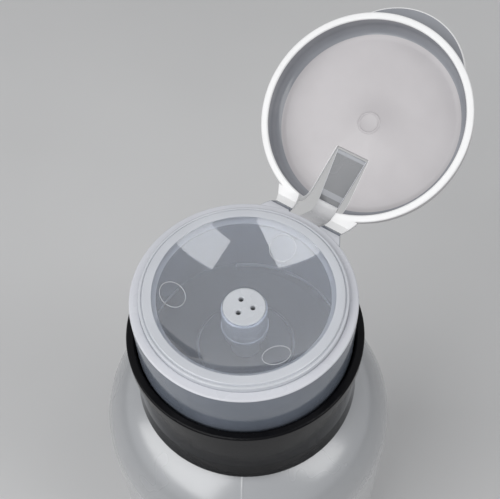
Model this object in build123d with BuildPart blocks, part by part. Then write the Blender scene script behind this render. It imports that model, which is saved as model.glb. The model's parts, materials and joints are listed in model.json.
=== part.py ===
from build123d import *
import math
import os

# Nail polish remover pump: a bottle with a screw collar, a push-down dish and a snap lid.
# Millimetres, +Z up. The origin is the centre of the bottle's base, and the lid's hinge is
# towards +Y. The lid is drawn open, as it stands on the counter.

# Bottle
bottle_radius = 31.8
bottle_wall = 0.9
base_thickness = 1.4
base_edge_radius = 3.5
shoulder_height = 92.0
shoulder_flat = 0.8
neck_outer_radius = 15.0
neck_wall = 1.6
neck_height = 9.6

# Screw thread of the neck and the collar
thread_lead = 4.0
thread_turns = 1.25
thread_depth = 1.1
thread_root_width = 1.7
thread_crest_width = 0.8
thread_start_height = 3.5
thread_radial_gap = 0.35

# Fits
running_gap = 0.05
press_gap = 0.02
seat_gap = 0.05
turning_gap = 0.15
free_gap = 0.3
root_bite = 0.3
cut_overrun = 2.0

# Pump fixed in the neck
gasket_thickness = 0.8
gasket_inner_gap = 0.2
cylinder_bore_radius = 7.5
cylinder_wall = 1.0
cylinder_depth = 31.6
cylinder_floor = 1.2
flange_thickness = 1.2
vent_radius = 0.6
vent_drop = 5.0
socket_radius = 4.6
socket_length = 12.8
chamber_radius = 2.9
chamber_depth = 8.0
inlet_hole_radius = 1.6
inlet_seat_thickness = 1.0
inlet_ball_radius = 2.4
inlet_ball_lift = 1.5
tube_outer_radius = 3.0
tube_bore_radius = 2.0
tube_floor_gap = 3.0
tube_slant_degrees = 45.0

# Retainer and seal in the top of the pump cylinder
retainer_depth = 11.3
retainer_flange_radius = 9.8
retainer_flange_thickness = 1.1
retainer_recess_radius = 4.8
retainer_recess_depth = 0.6
seal_radius = 4.5
seal_thickness = 1.2

# Plunger: stem, piston, spring and outlet ball
stroke = 6.0
stem_radius = 2.95
stem_bore_radius = 1.5
stem_neck_radius = 2.6
stem_flange_radius = 4.4
stem_flange_thickness = 2.2
stem_top_rise = 2.9
outlet_seat_depth = 1.6
outlet_chamber_radius = 2.05
stem_foot_radius = 4.0
stem_foot_thickness = 1.3
piston_height = 5.5
piston_lip_depth = 1.6
piston_lip_wall = 0.8
piston_waist_depth = 0.7
spring_wire_radius = 0.35
spring_mean_radius = 5.2
spring_turns = 6.5
spring_seat_thickness = 1.2
flow_hole_radius = 0.8
flow_hole_count = 4
cage_radius = 2.4
outlet_ball_radius = 1.9
outlet_ball_lift = 1.2

# Screw collar
collar_height = 20.15
collar_floor_gap = 0.6
collar_floor = 1.5
collar_wall = 0.9
collar_skirt_gap = 0.35
collar_rim_overhang = 0.8
collar_rim_height = 2.6
collar_rim_fillet = 0.4
collar_rim_slope = 0.8
collar_foot_fillet = 6.0
collar_foot_overhang = 0.45
collar_foot_height = 4.7
collar_barrel_wall = 1.75
deck_thickness = 1.2
deck_hole_gap = 0.5

# Turn lock between the collar and the cup
lock_count = 3
lock_turn_degrees = 60.0
rib_start_degrees = 90.0
lug_width_degrees = 40.0
lug_height = 5.0
lug_depth = 2.0
rib_width_degrees = 14.0
rib_height = 9.0
lock_gap = 0.4

# Cup and dish
cup_wall = 0.9
cup_skirt_drop = 22.1
rim_width = 1.78
rim_thickness = 2.2
rim_edge_radius = 0.3
ledge_width = 0.8
ledge_thickness = 1.0
bowl_radius = 29.0
bowl_wall = 1.0
lip_width = 2.52
lip_height = 1.4
lip_depth = 1.6
lip_fillet = 0.45
lip_skirt_wall = 1.2
ring_mark_radius = 2.65
ring_mark_width = 0.22
ring_mark_height = 0.15
ring_mark_circle = 13.5
ring_mark_degrees = (90.0, 210.0, 330.0)

# Nozzle
nozzle_radius = 4.55
nozzle_height = 7.85
nozzle_deck_gap = 2.327
nozzle_roof_thickness = 1.1
nozzle_shoulder_width = 0.35
nozzle_hole_radius = 0.5
nozzle_hole_circle = 1.7
nozzle_hole_count = 3
nozzle_hole_turn_degrees = 24.0
nozzle_foot_radius = 4.8
nozzle_foot_height = 0.6
ball_stop_radius = 1.0

# Snap lid
lid_open_degrees = 149.0
lid_wall = 1.5
lid_draft = 0.6
lid_height = 7.1
lid_top_thickness = 1.2
lid_seat_gap = 0.2
lid_inner_fillet = 2.6
lid_outer_fillet = 4.0
lid_rim_fillet = 0.3
gate_mark_radius = 2.1
tab_radius = 15.0
tab_reach = 3.3
tab_thickness = 1.0
tab_top_drop = 1.7
tab_root_depth = 1.5

# Hinge between the cup and the lid
hinge_stand_off = 1.36
hinge_drop = 1.2
film_radius = 0.2
hinge_inner_half = 3.75
hinge_outer_half = 7.5
lug_foot_inner_half = 3.4
strap_foot_outer_half = 9.2
strap_root_depth = 1.9
lug_top_drop = 0.25
lug_end_gap = 0.26
lug_end_height = 0.35
lug_root_drop = 2.2
ear_end_gap = 0.28
ear_end_rise = 0.45
ear_end_depth = 0.4
ear_root_rise = 1.4

# Snap tongue between the cup's wall and the end of the lid's slot
slot_end_half_width = 3.7
slot_mouth_half_width = 4.3
slot_end_gap = 0.25
tongue_thickness = 0.6
tongue_film_gap = 0.2
tongue_foot_half_width = 2.3
tongue_end_half_width = 3.4
tongue_foot_stand_off = 0.8
tongue_foot_drop = 2.8
tongue_foot_length = 8.5
tongue_knee_length = 2.6
tongue_knee_radius = 3.0
tongue_knee_degrees = 70.0
tongue_foot_degrees = -37.0
tongue_plate_depth = 14.3
tongue_plate_drop = 0.7
tongue_root_gap = 0.4
tongue_root_height = 0.6
tongue_root_slope = 0.8

# Widths, from the bottle's neck out to the cup and in again to the dish's lip
neck_bore_radius = neck_outer_radius - neck_wall
barrel_bore = neck_outer_radius + thread_depth + thread_radial_gap
barrel_radius = barrel_bore + collar_barrel_wall
cup_bore = barrel_radius + lug_depth + lock_gap
cup_radius = cup_bore + cup_wall
rim_bore = cup_radius - rim_width
lip_radius = rim_bore - lip_width
hinge_reach = cup_radius + hinge_stand_off
strap_foot_reach = cup_radius - strap_root_depth

# Heights, from the bottle's shoulder up to the cup's rim
neck_top = shoulder_height + neck_height
gasket_low = neck_top + seat_gap
flange_low = gasket_low + gasket_thickness
flange_top = flange_low + flange_thickness
deck_low = flange_top + turning_gap
deck_top = deck_low + deck_thickness
nozzle_low = deck_top + stroke + nozzle_deck_gap
nozzle_top = nozzle_low + nozzle_height
bowl_centre = nozzle_top + math.sqrt(bowl_radius**2 - nozzle_radius**2)
lip_top = bowl_centre - math.sqrt(bowl_radius**2 - lip_radius**2)
rim_z = lip_top - lip_height
collar_foot = shoulder_height + collar_floor_gap
collar_top = collar_foot + collar_height
cylinder_bottom = flange_top - cylinder_depth
socket_bottom = cylinder_bottom - cylinder_floor - socket_length
inlet_seat = cylinder_bottom - chamber_depth
retainer_low = flange_top - retainer_depth
piston_top = retainer_low - free_gap
piston_low = piston_top - piston_height
stem_flange_top = nozzle_low - seat_gap
stem_top = nozzle_low + stem_top_rise
spring_seat_top = cylinder_bottom + press_gap + spring_seat_thickness

# Folds in the side plane: pairs are (Y, height above the cup's rim)
hinge_point = (hinge_reach, -hinge_drop)
foot_point = (cup_radius + tongue_foot_stand_off, -tongue_foot_drop)
plate_point_closed = (cup_radius - tongue_plate_depth, lid_height - tongue_plate_drop)


def turned(point, centre, degrees):
    """A side-plane point turned about a centre, positive from +Y towards +Z."""
    angle = math.radians(degrees)
    reach = point[0] - centre[0]
    rise = point[1] - centre[1]
    return (
        centre[0] + reach * math.cos(angle) - rise * math.sin(angle),
        centre[1] + reach * math.sin(angle) + rise * math.cos(angle),
    )


def side_frame(point, degrees):
    """A frame at a side-plane point: X across, Y and Z turned by degrees about X."""
    angle = math.radians(degrees)
    return Plane(
        origin=(0, point[0], rim_z + point[1]),
        x_dir=(1, 0, 0),
        z_dir=(0, -math.sin(angle), math.cos(angle)),
    )


def side_section(frame):
    """The frame's own YZ plane, to draw a side outline on: its X is the frame's Y."""
    return Plane(origin=frame.origin, x_dir=frame.y_dir, z_dir=frame.x_dir)


def profile_section(frame):
    """The frame's own XZ plane, to draw a turned outline on."""
    return Plane(origin=frame.origin, x_dir=frame.x_dir, z_dir=-frame.y_dir)


def at_height(frame, height):
    """The frame's own XY plane, raised along its Z."""
    return Plane(
        origin=frame.origin + frame.z_dir * height, x_dir=frame.x_dir, z_dir=frame.z_dir
    )


# The open tongue: its foot half ends in a bend, and meets its plate half at the knee
plate_point = turned(plate_point_closed, hinge_point, -lid_open_degrees)
knee_bend = math.radians(tongue_knee_degrees)
knee_point = turned(
    (
        foot_point[0] + tongue_foot_length + tongue_knee_length * math.cos(knee_bend),
        foot_point[1] + tongue_knee_length * math.sin(knee_bend),
    ),
    foot_point,
    tongue_foot_degrees,
)
plate_link = math.dist(knee_point, plate_point)
plate_link_degrees = math.degrees(
    math.atan2(plate_point[1] - knee_point[1], plate_point[0] - knee_point[0])
)


def save(part, name):
    """Label a finished piece and write its STEP file."""
    part.label = name
    export_step(part, f"parts/{name}.step")


def outline(corners):
    """A closed outline through corners of (x, y) or (x, y, rounding radius)."""
    FilletPolyline(
        *[corner[:2] for corner in corners],
        radius=[corner[2] if len(corner) > 2 else 0 for corner in corners],
        close=True,
    )


def thread_ridge(radius, outward, low):
    """A helical ridge with a trapezoid section, rooted a little way into its wall."""
    crest = radius + outward * thread_depth
    root = radius - outward * root_bite
    with BuildPart() as ridge:
        with BuildLine(Plane.XY.offset(low)) as path:
            Helix(
                pitch=thread_lead, height=thread_lead * thread_turns, radius=radius
            )
        with BuildSketch(Plane.XZ):
            with BuildLine():
                Polyline(
                    (root, low - thread_root_width / 2),
                    (crest, low - thread_crest_width / 2),
                    (crest, low + thread_crest_width / 2),
                    (root, low + thread_root_width / 2),
                    close=True,
                )
            make_face()
        sweep(path=path.line, is_frenet=True)
    return ridge.part


def sector_blocks(inner, outer, width_degrees, start_degrees, low, height):
    """Equal blocks around the axis, between two radii, one for each lock position."""
    with BuildSketch() as sector:
        with BuildLine():
            outer_arc = CenterArc((0, 0), outer, -width_degrees / 2, width_degrees)
            inner_arc = CenterArc((0, 0), inner, -width_degrees / 2, width_degrees)
            Line(outer_arc @ 0, inner_arc @ 0)
            Line(outer_arc @ 1, inner_arc @ 1)
        make_face()
    with BuildPart() as blocks:
        with BuildSketch(Plane.XY.offset(low)):
            with PolarLocations(0, lock_count, start_angle=start_degrees):
                add(sector.sketch)
        extrude(amount=height)
    return blocks.part


os.makedirs("parts", exist_ok=True)

# Bottle: a thin blown body with a broad rounded shoulder and a threaded neck
inner_radius = bottle_radius - bottle_wall
shoulder_fillet = bottle_radius - neck_outer_radius - shoulder_flat
neck_thread_low = shoulder_height + thread_start_height
with BuildPart() as bottle:
    with BuildSketch(Plane.XZ):
        with BuildLine():
            outline(
                [
                    (0, base_thickness),
                    (0, 0),
                    (bottle_radius, 0, base_edge_radius),
                    (bottle_radius, shoulder_height, shoulder_fillet),
                    (neck_outer_radius, shoulder_height),
                    (neck_outer_radius, neck_top),
                    (neck_bore_radius, neck_top),
                    (neck_bore_radius, shoulder_height - bottle_wall),
                    (inner_radius, shoulder_height - bottle_wall, shoulder_fillet - bottle_wall),
                    (inner_radius, base_thickness, base_edge_radius - bottle_wall),
                ]
            )
        make_face()
    revolve(axis=Axis.Z)
    add(thread_ridge(neck_outer_radius, 1, neck_thread_low))
save(bottle.part, "bottle")

# Screw collar: a tall outer sleeve around a threaded barrel that clamps the pump's flange
sleeve_bore = cup_radius + collar_skirt_gap
sleeve_radius = sleeve_bore + collar_wall
collar_rim_radius = sleeve_radius + collar_rim_overhang
collar_rim_low = collar_top - collar_rim_height
collar_foot_top = collar_foot + collar_foot_height
deck_hole_radius = retainer_flange_radius + deck_hole_gap
lug_radius = barrel_radius + lug_depth
with BuildPart() as collar:
    with BuildSketch(Plane.XZ):
        with BuildLine():
            outline(
                [
                    (barrel_bore, collar_foot),
                    (sleeve_radius + collar_foot_overhang, collar_foot, collar_rim_fillet),
                    (sleeve_radius, collar_foot_top, collar_foot_fillet),
                    (sleeve_radius, collar_rim_low - collar_rim_slope),
                    (collar_rim_radius, collar_rim_low, collar_rim_fillet),
                    (collar_rim_radius, collar_top, collar_rim_fillet),
                    (sleeve_bore, collar_top, collar_rim_fillet),
                    (sleeve_bore, collar_foot + collar_floor),
                    (barrel_radius, collar_foot + collar_floor),
                    (barrel_radius, deck_top),
                    (deck_hole_radius, deck_top),
                    (deck_hole_radius, deck_low),
                    (barrel_bore, deck_low),
                ]
            )
        make_face()
    revolve(axis=Axis.Z)
    add(
        sector_blocks(
            barrel_radius - root_bite,
            lug_radius,
            lug_width_degrees,
            rib_start_degrees - lock_turn_degrees,
            deck_top - lug_height,
            lug_height,
        )
    )
    add(thread_ridge(barrel_bore, -1, neck_thread_low - thread_lead / 2))
save(collar.part, "collar")

# Neck gasket: a flat ring between the bottle's neck and the pump's flange
cylinder_radius = cylinder_bore_radius + cylinder_wall
with BuildPart() as neck_gasket:
    with BuildSketch(Plane.XY.offset(gasket_low)):
        Circle(neck_outer_radius)
        Circle(cylinder_radius + gasket_inner_gap, mode=Mode.SUBTRACT)
    extrude(amount=gasket_thickness)
save(neck_gasket.part, "neck_gasket")

# Pump cylinder: flange, barrel, ball chamber with its seat, and the dip tube's socket
tube_socket_radius = tube_outer_radius + press_gap
socket_roof = inlet_seat - inlet_seat_thickness
with BuildPart() as pump_cylinder:
    with BuildSketch(Plane.XZ):
        with BuildLine():
            Polyline(
                (cylinder_bore_radius, flange_top),
                (neck_outer_radius, flange_top),
                (neck_outer_radius, flange_low),
                (cylinder_radius, flange_low),
                (cylinder_radius, cylinder_bottom - cylinder_floor),
                (socket_radius, cylinder_bottom - cylinder_floor),
                (socket_radius, socket_bottom),
                (tube_socket_radius, socket_bottom),
                (tube_socket_radius, socket_roof),
                (inlet_hole_radius, socket_roof),
                (inlet_hole_radius, inlet_seat),
                (chamber_radius, inlet_seat),
                (chamber_radius, cylinder_bottom),
                (cylinder_bore_radius, cylinder_bottom),
                close=True,
            )
        make_face()
    revolve(axis=Axis.Z)
    with BuildSketch(Plane.YZ.offset(cylinder_bore_radius - cut_overrun)):
        with Locations((0, flange_low - vent_drop)):
            Circle(vent_radius)
    extrude(amount=cylinder_wall + cut_overrun + cut_overrun, mode=Mode.SUBTRACT)
save(pump_cylinder.part, "pump_cylinder")

# Dip tube: from the socket to just above the bottle's floor, its end cut on a slant
tube_top = socket_roof - seat_gap
tube_low = base_thickness + tube_floor_gap
tube_slant_rise = tube_outer_radius * math.tan(math.radians(tube_slant_degrees))
with BuildPart() as dip_tube:
    with BuildSketch(Plane.XY.offset(tube_low)):
        Circle(tube_outer_radius)
        Circle(tube_bore_radius, mode=Mode.SUBTRACT)
    extrude(amount=tube_top - tube_low)
    split(
        bisect_by=Plane(
            origin=(0, 0, tube_low + tube_slant_rise),
            z_dir=(
                math.sin(math.radians(tube_slant_degrees)),
                0,
                math.cos(math.radians(tube_slant_degrees)),
            ),
        ),
        keep=Keep.TOP,
    )
save(dip_tube.part, "dip_tube")

# Inlet ball, resting on the edge of the inlet hole
inlet_ball_centre = inlet_seat + seat_gap + math.sqrt(inlet_ball_radius**2 - inlet_hole_radius**2)
with BuildPart(Plane.XY.offset(inlet_ball_centre)) as inlet_ball:
    Sphere(inlet_ball_radius)
save(inlet_ball.part, "inlet_ball")

# Spring seat: a pierced disc on the cylinder's floor, with a short post that stops the ball
cage_low = inlet_ball_centre + inlet_ball_radius + inlet_ball_lift + seat_gap
spring_seat_low = cylinder_bottom + press_gap
spring_seat_radius = cylinder_bore_radius - press_gap
with BuildPart() as spring_seat:
    with BuildSketch(Plane.XY.offset(spring_seat_low)):
        Circle(spring_seat_radius)
    extrude(amount=spring_seat_thickness)
    with BuildSketch(Plane.XY.offset(cage_low)):
        Circle(cage_radius)
    extrude(amount=spring_seat_low - cage_low)
    with BuildSketch(Plane.XY.offset(cage_low)):
        Circle(flow_hole_radius)
        with PolarLocations(cage_radius, flow_hole_count):
            Circle(flow_hole_radius)
    extrude(amount=spring_seat_top - cage_low, mode=Mode.SUBTRACT)
save(spring_seat.part, "spring_seat")

# Return spring: one helical wire between the spring seat and the piston
spring_low = spring_seat_top + seat_gap + spring_wire_radius
spring_high = piston_low - seat_gap - spring_wire_radius
spring_pitch = (spring_high - spring_low) / spring_turns
print("spring gap between turns", round(spring_pitch - spring_wire_radius - spring_wire_radius, 3))
with BuildPart() as return_spring:
    with BuildLine(Plane.XY.offset(spring_low)) as spring_path:
        Helix(
            pitch=spring_pitch,
            height=spring_high - spring_low,
            radius=spring_mean_radius,
        )
    with BuildSketch(Plane(origin=spring_path.line @ 0, z_dir=spring_path.line % 0)):
        Circle(spring_wire_radius)
    sweep(path=spring_path.line, is_frenet=True)
save(return_spring.part, "return_spring")

# Piston: a double-lipped cup that slides in the cylinder
piston_radius = cylinder_bore_radius - running_gap
piston_bore = stem_neck_radius + press_gap
lip_bore = piston_radius - piston_lip_wall
lower_lip_top = piston_low + piston_lip_depth
upper_lip_low = piston_top - piston_lip_depth
with BuildPart() as piston:
    with BuildSketch(Plane.XZ):
        with BuildLine():
            Polyline(
                (piston_bore, piston_low),
                (lip_bore - piston_waist_depth, piston_low),
                (lip_bore - piston_waist_depth, lower_lip_top),
                (lip_bore, lower_lip_top),
                (lip_bore, piston_low),
                (piston_radius, piston_low),
                (piston_radius, lower_lip_top),
                (piston_radius - piston_waist_depth, lower_lip_top + piston_waist_depth),
                (piston_radius - piston_waist_depth, upper_lip_low - piston_waist_depth),
                (piston_radius, upper_lip_low),
                (piston_radius, piston_top),
                (lip_bore, piston_top),
                (lip_bore, upper_lip_low),
                (piston_bore, upper_lip_low),
                close=True,
            )
        make_face()
    revolve(axis=Axis.Z)
save(piston.part, "piston")

# Piston stem: a hollow rod with a foot under the piston, a flange under the nozzle and a
# seat for the outlet ball in its top
stem_shoulder = upper_lip_low + press_gap
outlet_seat = stem_top - outlet_seat_depth
stem_low = piston_low - press_gap - stem_foot_thickness
with BuildPart() as piston_stem:
    with BuildSketch(Plane.XZ):
        with BuildLine():
            Polyline(
                (stem_bore_radius, stem_low),
                (stem_foot_radius, stem_low),
                (stem_foot_radius, piston_low - press_gap),
                (stem_neck_radius, piston_low - press_gap),
                (stem_neck_radius, stem_shoulder),
                (stem_radius, stem_shoulder),
                (stem_radius, stem_flange_top - stem_flange_thickness),
                (stem_flange_radius, stem_flange_top - stem_flange_thickness),
                (stem_flange_radius, stem_flange_top),
                (stem_radius, stem_flange_top),
                (stem_radius, stem_top),
                (outlet_chamber_radius, stem_top),
                (outlet_chamber_radius, outlet_seat),
                (stem_bore_radius, outlet_seat),
                close=True,
            )
        make_face()
    revolve(axis=Axis.Z)
save(piston_stem.part, "piston_stem")

# Cylinder retainer: a guide bush pressed into the cylinder's top
retainer_radius = cylinder_bore_radius - press_gap
retainer_top = flange_top + press_gap + retainer_flange_thickness
guide_bore = stem_radius + running_gap
with BuildPart() as cylinder_retainer:
    with BuildSketch(Plane.XZ):
        with BuildLine():
            Polyline(
                (seal_radius, retainer_low),
                (retainer_radius, retainer_low),
                (retainer_radius, flange_top + press_gap),
                (retainer_flange_radius, flange_top + press_gap),
                (retainer_flange_radius, retainer_top),
                (retainer_recess_radius, retainer_top),
                (retainer_recess_radius, retainer_top - retainer_recess_depth),
                (guide_bore, retainer_top - retainer_recess_depth),
                (guide_bore, retainer_low + seal_thickness),
                (seal_radius, retainer_low + seal_thickness),
                close=True,
            )
        make_face()
    revolve(axis=Axis.Z)
save(cylinder_retainer.part, "cylinder_retainer")

# Stem seal: a soft ring in the retainer's underside
with BuildPart() as stem_seal:
    with BuildSketch(Plane.XY.offset(retainer_low)):
        Circle(seal_radius - press_gap)
        Circle(guide_bore, mode=Mode.SUBTRACT)
    extrude(amount=seal_thickness - press_gap)
save(stem_seal.part, "stem_seal")

# Outlet ball, resting on its seat in the stem's top
outlet_ball_centre = outlet_seat + seat_gap + math.sqrt(outlet_ball_radius**2 - stem_bore_radius**2)
with BuildPart(Plane.XY.offset(outlet_ball_centre)) as outlet_ball:
    Sphere(outlet_ball_radius)
save(outlet_ball.part, "outlet_ball")

# Hinge lugs of the cup: two sloped straps below the rim, drawn as a side outline and
# trimmed to their plan
cup_side = side_frame((0, 0), 0)
lug_plan_points = (
    (lug_foot_inner_half, strap_foot_reach),
    (hinge_inner_half, hinge_reach - lug_end_gap),
    (hinge_outer_half, hinge_reach - lug_end_gap),
    (strap_foot_outer_half, strap_foot_reach),
)
with BuildPart() as hinge_lugs:
    with BuildSketch(side_section(cup_side)):
        with BuildLine():
            Polyline(
                (strap_foot_reach, -lug_top_drop),
                (cup_radius, -lug_top_drop),
                (hinge_reach - lug_end_gap, lug_end_height - hinge_drop - lug_top_drop),
                (hinge_reach - lug_end_gap, -hinge_drop - lug_top_drop),
                (cup_radius, -lug_root_drop),
                (strap_foot_reach, -lug_root_drop),
                close=True,
            )
        make_face()
    extrude(amount=strap_foot_outer_half, both=True)
    with BuildSketch(Plane.XY.offset(rim_z - lug_root_drop)):
        with BuildLine():
            Polyline(*lug_plan_points, close=True)
        make_face()
        mirror(about=Plane.YZ)
    extrude(amount=lug_root_drop, mode=Mode.INTERSECT)

# Cup shell: a thin skirt under a flat rim, with lock ribs inside, the hinge lugs and a small
# root for the tongue's fold
ledge_bore = rim_bore - ledge_width
skirt_low = rim_z - cup_skirt_drop
rib_low = deck_top + free_gap
rib_radius = barrel_radius + lock_gap
root_reach = foot_point[0] - tongue_root_gap
with BuildPart() as cup_shell:
    with BuildSketch(Plane.XZ):
        with BuildLine():
            outline(
                [
                    (cup_bore, skirt_low),
                    (cup_radius, skirt_low),
                    (cup_radius, rim_z, rim_edge_radius),
                    (rim_bore, rim_z),
                    (rim_bore, rim_z - rim_thickness),
                    (ledge_bore, rim_z - rim_thickness),
                    (ledge_bore, rim_z - rim_thickness - ledge_thickness),
                    (cup_bore, rim_z - rim_thickness - ledge_thickness - ledge_width),
                ]
            )
        make_face()
    revolve(axis=Axis.Z)
    add(
        sector_blocks(
            rib_radius,
            cup_bore + root_bite,
            rib_width_degrees,
            rib_start_degrees,
            rib_low,
            rib_height,
        )
    )
    add(hinge_lugs.part)
    with BuildSketch(side_section(cup_side)):
        with BuildLine():
            Polyline(
                (cup_radius - root_bite, tongue_root_height / 2 - tongue_foot_drop),
                (root_reach, tongue_root_height / 2 - tongue_foot_drop),
                (root_reach, -tongue_root_height / 2 - tongue_foot_drop),
                (cup_radius, -tongue_foot_drop - tongue_root_slope),
                (cup_radius - root_bite, -tongue_foot_drop - tongue_root_slope),
                close=True,
            )
        make_face()
    extrude(amount=tongue_foot_half_width, both=True)
save(cup_shell.part, "cup_shell")

# Dish: a shallow clear bowl with a raised lip, a hole for the nozzle and three round marks
dish_radius = rim_bore - press_gap
bowl_outer_radius = bowl_radius + bowl_wall
lip_root_z = rim_z - rim_thickness + press_gap
lip_low = lip_top - lip_depth
nozzle_neck_radius = nozzle_radius - nozzle_shoulder_width
nozzle_hole_bore = nozzle_neck_radius + press_gap
with BuildPart() as dish:
    with BuildSketch(Plane.XY.offset(lip_low)):
        Circle(dish_radius)
    extrude(amount=lip_depth)
    fillet(dish.edges().group_by(Axis.Z)[-1], radius=lip_fillet)
    with BuildSketch(Plane.XY.offset(lip_root_z)):
        Circle(dish_radius)
        Circle(dish_radius - lip_skirt_wall, mode=Mode.SUBTRACT)
    extrude(amount=lip_low - lip_root_z)
    with BuildSketch(Plane.XZ):
        with BuildLine():
            bowl_side = CenterArc((0, bowl_centre), bowl_outer_radius, 270, 90)
            Line(bowl_side @ 0, (0, bowl_centre))
            Line((0, bowl_centre), bowl_side @ 1)
        make_face()
        with Locations((0, lip_low)):
            Rectangle(
                bowl_outer_radius,
                bowl_outer_radius,
                align=(Align.MIN, Align.MIN),
                mode=Mode.SUBTRACT,
            )
    revolve(axis=Axis.Z)
    with BuildSketch(Plane.XZ):
        with BuildLine():
            hollow_side = CenterArc((0, bowl_centre), bowl_radius, 270, 90)
            Line(hollow_side @ 0, (0, bowl_centre))
            Line((0, bowl_centre), hollow_side @ 1)
        make_face()
    revolve(axis=Axis.Z, mode=Mode.SUBTRACT)
    with BuildSketch(Plane.XY.offset(nozzle_low)):
        Circle(nozzle_hole_bore)
    extrude(amount=nozzle_height + cut_overrun, mode=Mode.SUBTRACT)
    for turn in ring_mark_degrees:
        lean = math.asin(ring_mark_circle / bowl_radius)
        outward = (math.cos(math.radians(turn)), math.sin(math.radians(turn)))
        normal = Vector(-math.sin(lean) * outward[0], -math.sin(lean) * outward[1], math.cos(lean))
        centre = Vector(0, 0, bowl_centre) - normal * (bowl_radius + root_bite)
        sag = bowl_radius - math.sqrt(bowl_radius**2 - ring_mark_radius**2)
        with BuildSketch(Plane(origin=centre, z_dir=normal)):
            Circle(ring_mark_radius + ring_mark_width / 2)
            Circle(ring_mark_radius - ring_mark_width / 2, mode=Mode.SUBTRACT)
        extrude(amount=root_bite + sag + ring_mark_height)
save(dish.part, "dish")

# Nozzle: a socket over the stem whose neck fills the dish's hole, level with the bowl, with
# three small outlets and a post that stops the ball
nozzle_bore = stem_radius + press_gap
nozzle_roof = nozzle_top - nozzle_roof_thickness
bowl_underside = bowl_centre - math.sqrt(bowl_outer_radius**2 - nozzle_hole_bore**2)
ball_stop_low = outlet_ball_centre + outlet_ball_radius + outlet_ball_lift + seat_gap
with BuildPart() as nozzle:
    with BuildSketch(Plane.XZ):
        with BuildLine():
            Polyline(
                (nozzle_bore, nozzle_low),
                (nozzle_foot_radius, nozzle_low),
                (nozzle_foot_radius, nozzle_low + nozzle_foot_height),
                (nozzle_radius, nozzle_low + nozzle_foot_height),
                (nozzle_radius, bowl_underside - seat_gap),
                (nozzle_neck_radius, bowl_underside - seat_gap),
                (nozzle_neck_radius, nozzle_top),
                (0, nozzle_top),
                (0, nozzle_roof),
                (nozzle_bore, nozzle_roof),
                close=True,
            )
        make_face()
    revolve(axis=Axis.Z)
    with BuildSketch(Plane.XY.offset(ball_stop_low)):
        Circle(ball_stop_radius)
    extrude(amount=nozzle_roof + root_bite - ball_stop_low)
    with BuildSketch(Plane.XY.offset(nozzle_low)):
        with PolarLocations(
            nozzle_hole_circle, nozzle_hole_count, start_angle=nozzle_hole_turn_degrees
        ):
            Circle(nozzle_hole_radius)
    extrude(amount=nozzle_height + cut_overrun, mode=Mode.SUBTRACT)
save(nozzle.part, "nozzle")

# Lid's frame: origin on its axis at the cup's rim, +Z towards its outer face
lid_rim_point = turned((0, 0), hinge_point, -lid_open_degrees)
lid_frame = side_frame(lid_rim_point, -lid_open_degrees)
lid_axis = Axis(lid_frame.origin, lid_frame.z_dir)

# Hinge ears of the lid: two straps from its rim to the fold, trimmed to their plan
ear_plan_points = (
    (slot_mouth_half_width, strap_foot_reach),
    (hinge_inner_half, hinge_reach + ear_end_depth),
    (hinge_outer_half, hinge_reach + ear_end_depth),
    (strap_foot_outer_half, strap_foot_reach),
)
with BuildPart() as hinge_ears:
    with BuildSketch(side_section(lid_frame)):
        with BuildLine():
            Polyline(
                (strap_foot_reach, lid_seat_gap),
                (cup_radius, lid_seat_gap),
                (hinge_reach, ear_end_gap - hinge_drop),
                (hinge_reach + ear_end_depth, ear_end_rise - hinge_drop),
                (hinge_reach + ear_end_depth, ear_end_rise + ear_end_depth - hinge_drop),
                (cup_radius, ear_root_rise + lid_seat_gap),
                (strap_foot_reach, ear_root_rise + lid_seat_gap),
                close=True,
            )
        make_face()
    extrude(amount=strap_foot_outer_half, both=True)
    with BuildSketch(at_height(lid_frame, -hinge_drop)):
        with BuildLine():
            Polyline(*ear_plan_points, close=True)
        make_face()
        mirror(about=Plane.YZ)
    extrude(amount=hinge_drop + ear_root_rise + ear_root_rise, mode=Mode.INTERSECT)

# Lid: a shallow cap with a thumb tab, a slot for the tongue and a round gate mark
lid_bore = cup_radius - lid_wall
lid_inner_top = lid_height - lid_top_thickness
slot_end_reach = plate_point_closed[0] - slot_end_gap
slot_plan_points = (
    (-slot_end_half_width, slot_end_reach),
    (slot_end_half_width, slot_end_reach),
    (slot_mouth_half_width, lid_bore),
    (slot_mouth_half_width, cup_radius + cut_overrun),
    (-slot_mouth_half_width, cup_radius + cut_overrun),
    (-slot_mouth_half_width, lid_bore),
)
with BuildPart() as lid:
    with BuildSketch(profile_section(lid_frame)):
        with BuildLine():
            outline(
                [
                    (0, lid_height),
                    (cup_radius - lid_draft, lid_height, lid_outer_fillet),
                    (cup_radius, lid_seat_gap, lid_rim_fillet),
                    (lid_bore, lid_seat_gap, lid_rim_fillet),
                    (lid_bore, lid_inner_top, lid_inner_fillet),
                    (0, lid_inner_top),
                ]
            )
        make_face()
    revolve(axis=lid_axis)
    with BuildSketch(at_height(lid_frame, lid_height - tab_top_drop - tab_thickness)):
        with Locations((0, tab_radius - cup_radius - tab_reach)):
            Circle(tab_radius)
        Circle(cup_radius - tab_root_depth, mode=Mode.SUBTRACT)
    extrude(amount=tab_thickness)
    with BuildSketch(at_height(lid_frame, lid_inner_top - ring_mark_height)):
        Circle(gate_mark_radius + ring_mark_width / 2)
        Circle(gate_mark_radius - ring_mark_width / 2, mode=Mode.SUBTRACT)
    extrude(amount=ring_mark_height + root_bite)
    add(hinge_ears.part)
    with BuildSketch(at_height(lid_frame, -hinge_drop)):
        with BuildLine():
            Polyline(*slot_plan_points, close=True)
        make_face()
    extrude(amount=lid_height + hinge_drop + cut_overrun, mode=Mode.SUBTRACT)
save(lid.part, "lid")

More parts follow.
